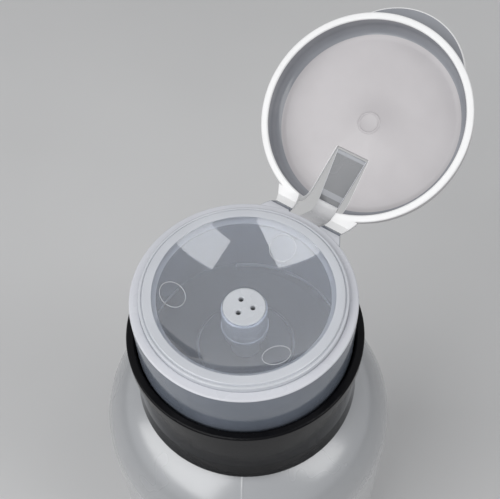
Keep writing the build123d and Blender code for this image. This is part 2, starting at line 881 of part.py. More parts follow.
# Hinge films: the thin folds that join each lug of the cup to its ear of the lid
for side, name in ((-1, "hinge_film_left"), (1, "hinge_film_right")):
    with BuildPart() as hinge_film:
        with BuildSketch(Plane.YZ.offset(side * hinge_inner_half)):
            with Locations((hinge_reach, rim_z - hinge_drop)):
                Circle(film_radius)
        extrude(amount=side * (hinge_outer_half - hinge_inner_half))
    save(hinge_film.part, name)

# Snap tongue, foot half: straight from the fold on the cup's wall, then bent up to the knee
half_thickness = tongue_thickness / 2
bend_shift = half_thickness * math.tan(knee_bend / 2)
knee_run = tongue_knee_length - tongue_film_gap
knee_tip = (
    tongue_foot_length + knee_run * math.cos(knee_bend),
    knee_run * math.sin(knee_bend),
)
knee_side = (half_thickness * math.sin(knee_bend), half_thickness * math.cos(knee_bend))
foot_frame = side_frame(foot_point, tongue_foot_degrees)
with BuildPart() as tongue_foot:
    with BuildSketch(side_section(foot_frame)):
        with BuildLine():
            outline(
                [
                    (tongue_film_gap, -half_thickness),
                    (
                        tongue_foot_length + bend_shift,
                        -half_thickness,
                        tongue_knee_radius + half_thickness,
                    ),
                    (knee_tip[0] + knee_side[0], knee_tip[1] - knee_side[1]),
                    (knee_tip[0] - knee_side[0], knee_tip[1] + knee_side[1]),
                    (
                        tongue_foot_length - bend_shift,
                        half_thickness,
                        tongue_knee_radius - half_thickness,
                    ),
                    (tongue_film_gap, half_thickness),
                ]
            )
        make_face()
    extrude(amount=tongue_foot_half_width, both=True)
save(tongue_foot.part, "tongue_foot")

# Snap tongue, plate half: from the knee to the slot's end, widening towards it
plate_frame = side_frame(knee_point, plate_link_degrees)
plate_plan_points = (
    (-tongue_foot_half_width, tongue_film_gap),
    (tongue_foot_half_width, tongue_film_gap),
    (tongue_end_half_width, plate_link - tongue_film_gap),
    (-tongue_end_half_width, plate_link - tongue_film_gap),
)
with BuildPart() as tongue_plate:
    with BuildSketch(at_height(plate_frame, -half_thickness)):
        with BuildLine():
            Polyline(*plate_plan_points, close=True)
        make_face()
    extrude(amount=tongue_thickness)
save(tongue_plate.part, "tongue_plate")
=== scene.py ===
import json
import math

import bmesh
import bpy
from mathutils import Matrix, Vector, noise


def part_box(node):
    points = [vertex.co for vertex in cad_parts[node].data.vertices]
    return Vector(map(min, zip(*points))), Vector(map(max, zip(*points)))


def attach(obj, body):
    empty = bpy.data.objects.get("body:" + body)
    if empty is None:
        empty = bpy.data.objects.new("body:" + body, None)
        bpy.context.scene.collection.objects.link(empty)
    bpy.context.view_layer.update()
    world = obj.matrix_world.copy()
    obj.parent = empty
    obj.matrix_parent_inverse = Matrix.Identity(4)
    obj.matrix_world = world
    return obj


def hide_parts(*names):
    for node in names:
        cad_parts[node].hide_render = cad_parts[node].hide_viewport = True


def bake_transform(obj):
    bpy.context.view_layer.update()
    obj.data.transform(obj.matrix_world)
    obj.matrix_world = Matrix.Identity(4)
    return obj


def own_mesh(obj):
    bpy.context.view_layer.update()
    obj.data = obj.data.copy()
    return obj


# Nail polish remover pump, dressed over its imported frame. Metres, +Z up. The lid's hinge is
# towards +Y, and the lid stands open.
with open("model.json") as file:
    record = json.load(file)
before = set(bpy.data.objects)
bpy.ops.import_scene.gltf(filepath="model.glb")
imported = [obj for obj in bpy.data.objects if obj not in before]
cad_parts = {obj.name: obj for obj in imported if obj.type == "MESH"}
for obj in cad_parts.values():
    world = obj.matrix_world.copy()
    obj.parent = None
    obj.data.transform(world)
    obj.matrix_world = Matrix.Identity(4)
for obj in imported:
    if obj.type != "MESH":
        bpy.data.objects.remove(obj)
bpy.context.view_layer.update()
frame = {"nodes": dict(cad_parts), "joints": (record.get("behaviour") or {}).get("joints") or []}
joints = {joint["name"]: joint for joint in frame["joints"]}
mm = 0.001

# Places and outer sizes taken from the frame
cup_low, cup_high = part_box("cup_shell")
dish_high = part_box("dish")[1]
nozzle_low, nozzle_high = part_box("nozzle")
bottle_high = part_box("bottle")[1]
rim_z = cup_high.z
cup_radius = cup_high.x
dish_radius = dish_high.x
bottle_radius = bottle_high.x
neck_top = bottle_high.z
hinge_at = Vector(joints["lid_hinge"]["pos_m"])
foot_fold_at = Vector(joints["tongue_foot_fold"]["pos_m"])
plate_fold_at = Vector(joints["tongue_plate_fold"]["pos_m"])
lid_open_angle = math.radians(joints["lid_hinge"]["range_deg"][1])

# Bottle
bottle_wall = 0.9 * mm
base_thickness = 1.4 * mm
base_edge_radius = 3.5 * mm
base_hollow = 1.1 * mm
base_ring_width = 3.2 * mm
base_hollow_fillet = 1.2 * mm
base_ring_fillet = 0.8 * mm
base_corner_radius = 3.3 * mm
shoulder_z = 92.0 * mm
shoulder_fillet = 16.0 * mm
neck_radius = 15.0 * mm
neck_wall = 1.6 * mm
neck_fillet = 0.7 * mm
neck_lip_fillet = 0.3 * mm
wall_wave = 0.05 * mm
wall_wave_turns = 2.2
wall_wave_height = 17.0 * mm
wall_step = 2.0 * mm
seam_height = 0.07 * mm
seam_width = 0.22 * mm
seam_angle = math.radians(301.5)
seam_steps = 6
thread_lead = 4.0 * mm
thread_turns = 1.25
thread_depth = 1.1 * mm
thread_start = 3.5 * mm
thread_root_width = 1.7 * mm
thread_crest_width = 0.8 * mm
thread_root_bite = 0.1 * mm

# Cup
cup_wall = 0.9 * mm
rim_width = 1.78 * mm
rim_thickness = 2.2 * mm
rim_edge_radius = 0.35 * mm
rim_inner_edge_radius = 0.15 * mm
ledge_width = 0.8 * mm
ledge_thickness = 1.0 * mm
skirt_edge_radius = 0.25 * mm
skirt_band_height = 1.3 * mm

# Dish and nozzle
bowl_radius = 29.0 * mm
bowl_wall = 1.0 * mm
lip_radius = 17.2 * mm
lip_depth = 1.6 * mm
lip_bead_width = 1.7 * mm
lip_edge_radius = 0.25 * mm
lip_groove_width = 0.3 * mm
lip_groove_depth = 0.25 * mm
lip_groove_floor_radius = 0.05 * mm
lip_groove_edge_radius = 0.1 * mm
lip_skirt_wall = 1.2 * mm
lip_skirt_gap = 0.02 * mm
dish_hole_radius = 4.22 * mm
ring_mark_radius = 2.65 * mm
ring_mark_line_radius = 0.06 * mm
ring_mark_circle = 13.5 * mm
ring_mark_degrees = (90.0, 210.0, 330.0)
nozzle_neck_radius = 4.2 * mm
nozzle_radius = 4.55 * mm
nozzle_bore = 2.97 * mm
nozzle_foot_radius = 4.8 * mm
nozzle_foot_height = 0.6 * mm
nozzle_roof_thickness = 1.1 * mm
nozzle_edge_radius = 0.3 * mm
nozzle_step_radius = 0.15 * mm
nozzle_foot_edge_radius = 0.1 * mm
nozzle_neck_gap = 0.05 * mm
ball_stop_radius = 1.0 * mm
ball_stop_drop = 2.2 * mm
nozzle_hole_radius = 0.5 * mm
nozzle_hole_circle = 1.7 * mm
nozzle_hole_mouth = 0.12 * mm
nozzle_hole_count = 3
nozzle_hole_turn = math.radians(24.0)

# Lid
lid_wall = 1.5 * mm
lid_draft = 0.6 * mm
lid_height = 7.1 * mm
lid_top_thickness = 1.2 * mm
lid_seat_gap = 0.2 * mm
lid_inner_fillet = 2.6 * mm
lid_outer_fillet = 4.0 * mm
lid_rim_fillet = 0.35 * mm
gate_mark_radius = 2.1 * mm
gate_mark_width = 0.26 * mm
gate_mark_height = 0.15 * mm
tab_radius = 15.0 * mm
tab_reach = 3.3 * mm
tab_thickness = 1.0 * mm
tab_top_drop = 1.7 * mm
tab_root_depth = 1.2 * mm
tab_edge_radius = 0.3 * mm
tab_face_depth = 3.0 * mm
zone_margin = 0.1 * mm
zone_flatness = 0.02 * mm
slot_end_half_width = 3.7 * mm
slot_mouth_half_width = 4.3 * mm
slot_end_gap = 0.25 * mm

# Hinge straps and films
hinge_inner_half = 3.75 * mm
hinge_outer_half = 7.5 * mm
lug_foot_inner_half = 3.4 * mm
strap_foot_outer_half = 9.2 * mm
strap_root_depth = 1.9 * mm
lug_top_drop = 0.25 * mm
lug_end_gap = 0.26 * mm
lug_end_height = 0.35 * mm
lug_root_drop = 2.2 * mm
ear_end_gap = 0.28 * mm
ear_end_rise = 0.45 * mm
ear_end_depth = 0.4 * mm
ear_root_rise = 1.4 * mm
film_thickness = 0.3 * mm
film_overlap = 0.15 * mm
film_drop = 0.05 * mm

# Snap tongue
tongue_thickness = 0.6 * mm
tongue_film_gap = 0.2 * mm
tongue_foot_half_width = 2.3 * mm
tongue_end_half_width = 3.4 * mm
tongue_foot_length = 8.5 * mm
tongue_knee_length = 2.6 * mm
tongue_knee_radius = 3.0 * mm
tongue_knee_angle = math.radians(70.0)
tongue_foot_angle = math.radians(-37.0)
tongue_plate_reach = 7.2 * mm
# Bands of the tongue's plate with painted light: a lighter end band, a paler knee edge and a
# lighter band from plate_light_start to plate_light_end.
plate_end_band = 0.8 * mm
plate_knee_edge = 0.2 * mm
plate_light_start = 1.0 * mm
plate_light_end = 2.2 * mm
plate_step = 0.4 * mm
tongue_root_gap = 0.4 * mm
tongue_root_height = 0.6 * mm
tongue_root_slope = 0.8 * mm
edge_bevel = 0.1 * mm
tab_bevel_segments = 3

# Return spring and floor
floor_size = 12.0
floor_gap = 0.02 * mm

# Steps of the meshes
turn_steps = 192
arc_steps = 7
long_arc_steps = 10
knee_arc_steps = 12
hole_steps = 32
mark_steps = 64
mark_line_steps = 8
weld_distance = 0.002 * mm


def in_side_plane(point, centre, angle):
    """A (Y, Z) point turned about a centre, positive from +Y towards +Z."""
    reach, rise = point[0] - centre[0], point[1] - centre[1]
    return (
        centre[0] + reach * math.cos(angle) - rise * math.sin(angle),
        centre[1] + reach * math.sin(angle) + rise * math.cos(angle),
    )


def side_matrix(place, angle):
    """A frame at a (Y, Z) place, turned about X."""
    return Matrix.Translation((0, place[0], place[1])) @ Matrix.Rotation(angle, 4, "X")


# Frames of the lid and the tongue's halves. Lid shapes are drawn shut, with Z from the rim.
lid_matrix = (
    Matrix.Translation(hinge_at)
    @ Matrix.Rotation(-lid_open_angle, 4, "X")
    @ Matrix.Translation(-hinge_at)
    @ Matrix.Translation((0, 0, rim_z))
)
cup_matrix = Matrix.Translation((0, 0, rim_z))
hinge_reach = hinge_at.y
hinge_drop = rim_z - hinge_at.z
strap_foot_reach = cup_radius - strap_root_depth
foot_point = (foot_fold_at.y, foot_fold_at.z)
plate_point = (plate_fold_at.y, plate_fold_at.z)
knee_point = in_side_plane(
    (
        foot_point[0] + tongue_foot_length + tongue_knee_length * math.cos(tongue_knee_angle),
        foot_point[1] + tongue_knee_length * math.sin(tongue_knee_angle),
    ),
    foot_point,
    tongue_foot_angle,
)
plate_link = math.dist(knee_point, plate_point)
plate_angle = math.atan2(plate_point[1] - knee_point[1], plate_point[0] - knee_point[0])
foot_matrix = side_matrix(foot_point, tongue_foot_angle)
plate_matrix = side_matrix(knee_point, plate_angle)


def rounded(corners, steps=arc_steps):
    """Points round an outline with corners of (x, y) or (x, y, radius), arcs in short steps."""
    points = []
    for index, corner in enumerate(corners):
        here = Vector(corner[:2])
        if len(corner) < 3:
            points.append((here.x, here.y))
            continue
        back = (Vector(corners[index - 1][:2]) - here).normalized()
        ahead = (Vector(corners[(index + 1) % len(corners)][:2]) - here).normalized()
        half = back.angle(ahead) / 2
        centre = here + (back + ahead).normalized() * corner[2] / math.sin(half)
        start = here + back * corner[2] / math.tan(half) - centre
        end = here + ahead * corner[2] / math.tan(half) - centre
        sweep = math.atan2(start.x * end.y - start.y * end.x, start.dot(end))
        for step in range(steps + 1):
            turn = sweep * step / steps
            points.append(
                (
                    centre.x + start.x * math.cos(turn) - start.y * math.sin(turn),
                    centre.y + start.x * math.sin(turn) + start.y * math.cos(turn),
                )
            )
    return points


def to_object(name, bm, matrix=None):
    """A linked object from a bmesh, with its faces turned outwards."""
    bmesh.ops.remove_doubles(bm, verts=bm.verts, dist=weld_distance)
    bmesh.ops.recalc_face_normals(bm, faces=bm.faces)
    mesh = bpy.data.meshes.new(name)
    bm.to_mesh(mesh)
    bm.free()
    if matrix is not None:
        mesh.transform(matrix)
    made = bpy.data.objects.new(name, mesh)
    bpy.context.scene.collection.objects.link(made)
    return made


def even_turn(steps):
    """Angles of even steps round a full turn."""
    return [math.tau * step / steps for step in range(steps)]


def on_circle(radius, angle):
    return radius * math.cos(angle), radius * math.sin(angle)


def lathe(name, outline, matrix=None, angles=None, push=None):
    """A closed (radius, height) outline turned about Z.

    push moves a point that is given as its radius, height and angle.
    """
    angles = angles or even_turn(turn_steps)
    bm = bmesh.new()
    columns = []
    for angle in angles:
        column = []
        for radius, height in outline:
            if push:
                radius, height = push(radius, height, angle)
            column.append(bm.verts.new((*on_circle(radius, angle), height)))
        columns.append(column)
    for left, right in zip(columns, columns[1:] + columns[:1]):
        for index in range(len(outline)):
            after = (index + 1) % len(outline)
            if outline[index][0] > 0 or outline[after][0] > 0:
                bm.faces.new((left[index], right[index], right[after], left[after]))
    return to_object(name, bm, matrix)


def strap(name, outline, inner, outer, matrix=None):
    """A closed (y, z) side outline made solid from X = inner(y) to X = outer(y)."""
    bm = bmesh.new()
    near = [bm.verts.new((inner(y), y, z)) for y, z in outline]
    far = [bm.verts.new((outer(y), y, z)) for y, z in outline]
    bm.faces.new(near)
    bm.faces.new(far)
    for index in range(len(outline)):
        after = (index + 1) % len(outline)
        bm.faces.new((near[index], near[after], far[after], far[index]))
    return to_object(name, bm, matrix)


def apply_modifiers(piece):
    """The piece with its modifiers taken into its mesh."""
    depsgraph = bpy.context.evaluated_depsgraph_get()
    mesh = bpy.data.meshes.new_from_object(piece.evaluated_get(depsgraph))
    piece.modifiers.clear()
    piece.data = mesh
    return piece


def bevelled(piece, width, segments=2, angle=40.0):
    """The piece with its sharp edges rounded."""
    bevel = piece.modifiers.new("bevel", "BEVEL")
    bevel.width = width
    bevel.segments = segments
    bevel.limit_method = "ANGLE"
    bevel.angle_limit = math.radians(angle)
    bevel.use_clamp_overlap = False
    return apply_modifiers(piece)


def combined(piece, tool, operation):
    """The piece with another one joined to it, or cut out of it."""
    boolean = piece.modifiers.new("boolean", "BOOLEAN")
    boolean.operation = operation
    boolean.solver = "MANIFOLD"
    boolean.object = tool
    apply_modifiers(piece)
    bpy.data.objects.remove(tool)
    return piece


def smooth(piece, angle=35.0):
    """Smooth shading with sharp edges above an angle."""
    piece.data.shade_smooth()
    piece.data.set_sharp_from_angle(angle=math.radians(angle))
    return piece


def dressed(piece, material, slot, body, *replaced):
    """The finished piece: shading, material, body and the frame nodes that it stands for. The slot
    is not used.
    """
    smooth(piece)
    piece.data.materials.clear()
    piece.data.materials.append(material)
    if body:
        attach(piece, body)
    if replaced:
        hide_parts(*replaced)
    return piece


def linear(start, end):
    """A straight-line function of y through two (y, x) points."""
    slope = (end[1] - start[1]) / (end[0] - start[0])
    return lambda y: start[1] + slope * (y - start[0])


def zoned(piece, material, chosen, matrix=None):
    """Another material on the faces whose middle is chosen, in the frame that a matrix gives."""
    back = matrix.inverted() if matrix else Matrix()
    piece.data.materials.append(material)
    index = len(piece.data.materials) - 1
    for face in piece.data.polygons:
        if chosen(back @ face.center):
            face.material_index = index
    return piece


def ramp(nodes, links, source, low, high, target, spread=(0.25, 0.75)):
    """A value from 0 to 1 taken smoothly between two colours and into a socket."""
    blend = nodes.new("ShaderNodeValToRGB")
    blend.color_ramp.interpolation = "EASE"
    blend.color_ramp.elements[0].position = spread[0]
    blend.color_ramp.elements[1].position = spread[1]
    blend.color_ramp.elements[0].color = low
    blend.color_ramp.elements[1].color = high
    links.new(source, blend.inputs["Fac"])
    links.new(blend.outputs["Color"], target)


def gray(value):
    return (value, value, value, 1)


roughness_clouds = 2.7
bump_distance = 0.05 * mm


def moulded(name, dark, light, smoothness, clouds=90.0, grain=2400.0, relief=0.12, **values):
    """A moulding's surface: cloudy colour and roughness, each between two values, and a grain.

    Single values are set on the shader's own sockets.
    """
    material = bpy.data.materials.new(name)
    material.use_nodes = True
    nodes, links = material.node_tree.nodes, material.node_tree.links
    shader = nodes["Principled BSDF"]
    for socket, value in values.items():
        shader.inputs[socket.replace("_", " ")].default_value = value
    coordinates = nodes.new("ShaderNodeTexCoord")
    noises = []
    for scale, detail in ((clouds, 3.0), (clouds * roughness_clouds, 2.0), (grain, 4.0)):
        cloud = nodes.new("ShaderNodeTexNoise")
        cloud.inputs["Scale"].default_value = scale
        cloud.inputs["Detail"].default_value = detail
        links.new(coordinates.outputs["Object"], cloud.inputs["Vector"])
        noises.append(cloud.outputs["Fac"])
    ramp(nodes, links, noises[0], dark, light, shader.inputs["Base Color"])
    smooth_end, rough_end = (gray(value) for value in smoothness)
    ramp(nodes, links, noises[1], smooth_end, rough_end, shader.inputs["Roughness"])
    bump = nodes.new("ShaderNodeBump")
    bump.inputs["Strength"].default_value = relief
    bump.inputs["Distance"].default_value = bump_distance
    links.new(noises[2], bump.inputs["Height"])
    links.new(bump.outputs["Normal"], shader.inputs["Normal"])
    return material


# Materials. Natural polypropylene looks dark where it is thin. Paler copies of it paint the glow
# and highlights of its edges, and darker copies paint its shade: painted light and painted shade
# on one plastic.
natural = moulded(
    "natural_wall", (0.20, 0.23, 0.28, 1), (0.25, 0.28, 0.34, 1), (0.10, 0.16),
    IOR=1.49, Transmission_Weight=0.4,
)
# Paler copy on the cup's rim and on the tongue plate's edges: painted edge glow.
rim_painted_glow = moulded(
    "natural_rim_painted_glow", (0.58, 0.59, 0.63, 1), (0.63, 0.64, 0.68, 1), (0.26, 0.34), IOR=1.49,
)
# Paler, less clear copy of the dish's plastic on its lip: painted edge glow.
lip_painted_glow = moulded(
    "dish_lip_painted_glow", (0.56, 0.58, 0.62, 1), (0.62, 0.64, 0.68, 1), (0.05, 0.09),
    relief=0.03, IOR=1.49, Transmission_Weight=0.1, Specular_IOR_Level=0.9,
)
# Pale copy on the bowl's ring marks: painted highlight on their thin ridges.
mark_painted_highlight = moulded(
    "dish_mark", (0.62, 0.64, 0.67, 1), (0.68, 0.70, 0.73, 1), (0.1, 0.2), IOR=1.49,
)
# Pale copy on the lid's ring, ears, tab edge and slot edges: painted edge glow.
ring_painted_glow = moulded("lid_ring_painted_glow", gray(0.80), gray(0.84), (0.28, 0.36), IOR=1.49)
plate_plastic = moulded(
    "lid_plate", (0.46, 0.44, 0.45, 1), (0.50, 0.48, 0.49, 1), (0.30, 0.36), IOR=1.49,
)
# Darker grey: painted shade on the lid's inner wall and the tab's underside, and painted light on
# bands of the dark tongue plate.
wall_shade_and_plate_light = moulded(
    "lid_wall", (0.25, 0.26, 0.285, 1), (0.30, 0.31, 0.335, 1), (0.12, 0.20), IOR=1.49,
)
# Dark copy on the tongue's plate: painted shade.
tongue_plate_painted_shade = moulded(
    "tongue_plate", (0.13, 0.135, 0.145, 1), (0.17, 0.175, 0.185, 1), (0.2, 0.3), IOR=1.49,
)
# Pale copy on the tongue's foot: painted light.
tongue_foot_painted_light = moulded(
    "tongue_foot", (0.68, 0.68, 0.69, 1), (0.74, 0.74, 0.75, 1), (0.2, 0.3), IOR=1.49,
)
frosted = moulded(
    "frosted_bottle", (0.32, 0.33, 0.345, 1), (0.36, 0.37, 0.385, 1), (0.24, 0.28),
    clouds=25.0, grain=3200.0, relief=0.04,
    IOR=1.49, Transmission_Weight=0.1, Specular_IOR_Level=1.0, Coat_Weight=1.0, Coat_Roughness=0.2,
)
black = moulded(
    "black_gloss", (0.003, 0.003, 0.004, 1), (0.006, 0.006, 0.007, 1), (0.08, 0.13),
    clouds=200.0, relief=0.02, IOR=1.5, Specular_IOR_Level=0.08,
)
satin_black = moulded("black_satin", gray(0.010), gray(0.016), (0.35, 0.45), relief=0.1, IOR=1.5)
clear = moulded(
    "clear_dish", (0.82, 0.87, 0.97, 1), (0.86, 0.91, 1.0, 1), (0.015, 0.03),
    clouds=40.0, grain=120.0, relief=0.008, IOR=1.49, Transmission_Weight=0.885,
    Specular_IOR_Level=1.0, Coat_Weight=0.8, Coat_Roughness=0.02,
)
# The nozzle's white, brighter than its top to make up for the light that the dish holds back:
# painted light. It also paints a highlight line on the cup skirt's inner lower edge.
milky_painted_light = moulded(
    "nozzle_plastic", (0.90, 0.91, 0.93, 1), (0.95, 0.96, 0.98, 1), (0.2, 0.3), IOR=1.49,
)
outlet_plastic = moulded(
    "nozzle_top", (0.54, 0.56, 0.59, 1), (0.60, 0.62, 0.65, 1), (0.2, 0.3), IOR=1.49,
)
pump_white = moulded(
    "pump_plastic", gray(0.80), gray(0.86), (0.35, 0.45), IOR=1.49, Transmission_Weight=0.1
)
tube_clear = moulded(
    "tube_plastic", (0.80, 0.82, 0.84, 1), (0.86, 0.88, 0.90, 1), (0.25, 0.35),
    IOR=1.49, Transmission_Weight=0.4,
)
foam = moulded(
    "gasket_foam", (0.80, 0.80, 0.77, 1), (0.88, 0.88, 0.85, 1), (0.85, 0.95),
    grain=3000.0, relief=0.6,
)
rubber = moulded("seal_rubber", gray(0.025), gray(0.035), (0.5, 0.65), relief=0.2)
wire = moulded("spring_steel", gray(0.58), gray(0.64), (0.2, 0.32), clouds=900.0, Metallic=1.0)
ball_steel = moulded(
    "ball_steel", gray(0.72), gray(0.77), (0.06, 0.12), clouds=900.0, relief=0.02, Metallic=1.0
)

# Frame nodes that keep their own shape
node_materials = {
    "collar": black,
    "neck_gasket": foam,
    "pump_cylinder": pump_white,
    "dip_tube": tube_clear,
    "inlet_ball": ball_steel,
    "spring_seat": pump_white,
    "return_spring": wire,
    "piston": pump_white,
    "piston_stem": pump_white,
    "cylinder_retainer": satin_black,
    "stem_seal": rubber,
    "outlet_ball": ball_steel,
}
for node, material in node_materials.items():
    kept = frame["nodes"][node]
    kept.data.materials.clear()
    kept.data.materials.append(material)


def bottle_push(radius, height, angle):
    """Slow waves in the blown wall, always inwards, and the mould's two seams."""
    if radius < neck_radius + mm or height < base_edge_radius:
        return radius, height
    wave = noise.noise(Vector((*on_circle(wall_wave_turns, angle), height / wall_wave_height)))
    inwards = wall_wave * (0.5 + wave)
    seam = 0
    for place in (seam_angle, seam_angle - math.pi):
        offset = math.remainder(angle - place, math.tau) * radius
        seam += seam_height * math.exp(-((offset / seam_width) ** 2))
    return radius - max(0, inwards) + seam, height


def bottle_angles():
    """Even steps round the bottle, with close ones at the seams."""
    angles = even_turn(turn_steps)
    for place in (seam_angle, seam_angle - math.pi):
        for step in range(-seam_steps, seam_steps + 1):
            angles.append((place + step * seam_width / 2 / bottle_radius) % math.tau)
    angles.sort()
    return [b for a, b in zip([-1.0] + angles, angles) if b - a > 0.001]


def subdivided(points, step):
    """The outline with its long edges cut into shorter ones."""
    result = []
    for start, end in zip(points, points[1:] + points[:1]):
        count = max(1, round(math.dist(start, end) / step))
        for index in range(count):
            share = index / count
            across = start[0] + (end[0] - start[0]) * share
            along = start[1] + (end[1] - start[1]) * share
            result.append((across, along))
    return result


inner_radius = bottle_radius - bottle_wall
hollow_radius = bottle_radius - base_edge_radius - base_ring_width
bottle_outline = rounded(
    [
        (0, base_thickness + base_hollow),
        (0, base_hollow),
        (hollow_radius, base_hollow, base_hollow_fillet),
        (bottle_radius - base_edge_radius - base_hollow, 0, base_ring_fillet),
        (bottle_radius, 0, base_corner_radius),
        (bottle_radius, shoulder_z, shoulder_fillet),
        (neck_radius, shoulder_z, neck_fillet / 2),
        (neck_radius, neck_top, neck_lip_fillet),
        (neck_radius - neck_wall, neck_top, neck_lip_fillet),
        (neck_radius - neck_wall, shoulder_z - bottle_wall, neck_fillet),
        (inner_radius, shoulder_z - bottle_wall, shoulder_fillet - bottle_wall),
        (inner_radius, base_thickness, base_edge_radius - bottle_wall),
        (hollow_radius, base_thickness + base_hollow, base_hollow_fillet),
    ],
    long_arc_steps,
)
bottle_fine_outline = subdivided(bottle_outline, wall_step)
bottle = lathe("bottle_body", bottle_fine_outline, angles=bottle_angles(), push=bottle_push)
dressed(bottle, frosted, "bottle", "bottle", "bottle")


def thread_ridge(name, radius, low, steps=240):
    """A helical ridge round a wall, rooted a little way into it, with flat ends."""
    section = [
        (-thread_root_bite, -thread_root_width / 2),
        (thread_depth, -thread_crest_width / 2),
        (thread_depth, thread_crest_width / 2),
        (-thread_root_bite, thread_root_width / 2),
    ]
    bm = bmesh.new()
    rows = []
    for step in range(steps + 1):
        angle = math.tau * thread_turns * step / steps
        rise = low + thread_lead * thread_turns * step / steps
        reaches = [(radius + out, rise + up) for out, up in section]
        rows.append([bm.verts.new((*on_circle(r, angle), z)) for r, z in reaches])
    for back, ahead in zip(rows, rows[1:]):
        for index in range(len(section)):
            after = (index + 1) % len(section)
            bm.faces.new((back[index], ahead[index], ahead[after], back[after]))
    bm.faces.new(rows[0])
    bm.faces.new(rows[-1])
    return to_object(name, bm)


thread = thread_ridge("bottle_thread", neck_radius, shoulder_z + thread_start)
dressed(thread, frosted, "bottle", "bottle")


def hinge_strap(name, outline, plan, matrix):
    """The left and right straps of one side outline, narrowing along their plan."""
    made = []
    for side, word in ((-1, "left"), (1, "right")):
        inner = linear((plan[0][0], side * plan[0][1]), (plan[1][0], side * plan[1][1]))
        outer = linear((plan[0][0], side * plan[0][2]), (plan[1][0], side * plan[1][2]))
        made.append(bevelled(strap(f"{name}_{word}", outline, inner, outer, matrix), edge_bevel))
    return made


# Cup: skirt, rim, ledge, hinge lugs and the tongue's root
cup_bore = cup_radius - cup_wall
rim_bore = cup_radius - rim_width
cup_outline = rounded(
    [
        (cup_bore, cup_low.z, skirt_edge_radius),
        (cup_radius, cup_low.z, skirt_edge_radius),
        (cup_radius, rim_z, rim_edge_radius),
        (rim_bore, rim_z, rim_inner_edge_radius),
        (rim_bore, rim_z - rim_thickness),
        (rim_bore - ledge_width, rim_z - rim_thickness),
        (rim_bore - ledge_width, rim_z - rim_thickness - ledge_thickness),
        (cup_bore, rim_z - rim_thickness - ledge_thickness - ledge_width),
        (cup_bore, cup_low.z + skirt_band_height),
    ]
)
cup = lathe("cup", cup_outline)
lug_end = hinge_reach - lug_end_gap
lug_outline = [
    (strap_foot_reach, -lug_top_drop),
    (cup_radius, -lug_top_drop),
    (lug_end, lug_end_height - hinge_drop - lug_top_drop),
    (lug_end, -hinge_drop - lug_top_drop),
    (cup_radius, -lug_root_drop),
    (strap_foot_reach, -lug_root_drop),
]
lug_plan = (
    (strap_foot_reach, lug_foot_inner_half, strap_foot_outer_half),
    (lug_end, hinge_inner_half, hinge_outer_half),
)
for lug in hinge_strap("lug", lug_outline, lug_plan, cup_matrix):
    combined(cup, lug, "UNION")
foot_height = foot_point[1] - rim_z
root_outline = [
    (cup_radius - cup_wall / 2, foot_height + tongue_root_height / 2),
    (foot_point[0] - tongue_root_gap, foot_height + tongue_root_height / 2),
    (foot_point[0] - tongue_root_gap, foot_height - tongue_root_height / 2),
    (cup_radius, foot_height - tongue_root_slope),
    (cup_radius - cup_wall / 2, foot_height - tongue_root_slope),
]
root = strap(
    "root",
    root_outline,
    lambda y: -tongue_foot_half_width,
    lambda y: tongue_foot_half_width,
    cup_matrix,
)
combined(cup, root, "UNION")
dressed(cup, natural, "cup", "head", "cup_shell")
# The cup's rim top and outer rounding are painted paler than the wall: painted edge glow.
zoned(
    cup,
    rim_painted_glow,
    lambda place: place.z > rim_z - rim_edge_radius and place.xy.length < cup_radius + mm / 2,
)
# A band at the skirt's inner lower edge, painted white: painted highlight line.
zoned(
    cup,
    milky_painted_light,
    lambda place: place.z < cup_low.z + skirt_band_height
    and place.xy.length < cup_radius - cup_wall / 2,
)

# Dish: a shallow clear bowl in a lip that stands on the cup's ledge
lip_z = dish_high.z
lip_low = lip_z - lip_depth
bowl_centre = lip_z + math.sqrt(bowl_radius**2 - lip_radius**2)
bowl_outer = bowl_radius + bowl_wall
lip_root = math.sqrt(bowl_outer**2 - (bowl_centre - lip_low) ** 2)
skirt_low = rim_z - rim_thickness + lip_skirt_gap
groove_inner = lip_radius + lip_bead_width
groove_outer = groove_inner + lip_groove_width
groove_middle = (groove_inner + groove_outer) / 2


def bowl_arc(radius, low, high, steps=40):
    """Points of a sphere's side about the bowl's centre, between two distances from the axis."""
    start, end = math.asin(low / radius), math.asin(high / radius)
    angles = [start + (end - start) * step / steps for step in range(steps + 1)]
    return [(radius * math.sin(a), bowl_centre - radius * math.cos(a)) for a in angles]


lip_corners = rounded(
    [
        (lip_root, lip_low),
        (dish_radius - lip_skirt_wall, lip_low),
        (dish_radius - lip_skirt_wall, skirt_low),
        (dish_radius, skirt_low),
        (dish_radius, lip_z - lip_groove_depth, lip_edge_radius),
        (groove_outer, lip_z - lip_groove_depth, lip_groove_edge_radius),
        (groove_middle, lip_z - 2 * lip_groove_depth, lip_groove_floor_radius),
        (groove_inner, lip_z, lip_edge_radius),
        (lip_radius, lip_z, lip_edge_radius),
        bowl_arc(bowl_radius, dish_hole_radius, lip_radius)[-3],
    ]
)
dish_outline = (
    bowl_arc(bowl_outer, dish_hole_radius, lip_root)
    + lip_corners[1:-1]
    + bowl_arc(bowl_radius, dish_hole_radius, lip_radius)[::-1][2:]
)
dish = lathe("dish_bowl", dish_outline)
dressed(dish, clear, "dish", "head", "dish")
# The lip is painted paler than the clear bowl: painted edge glow.
zoned(dish, lip_painted_glow, lambda place: place.xy.length > lip_radius)

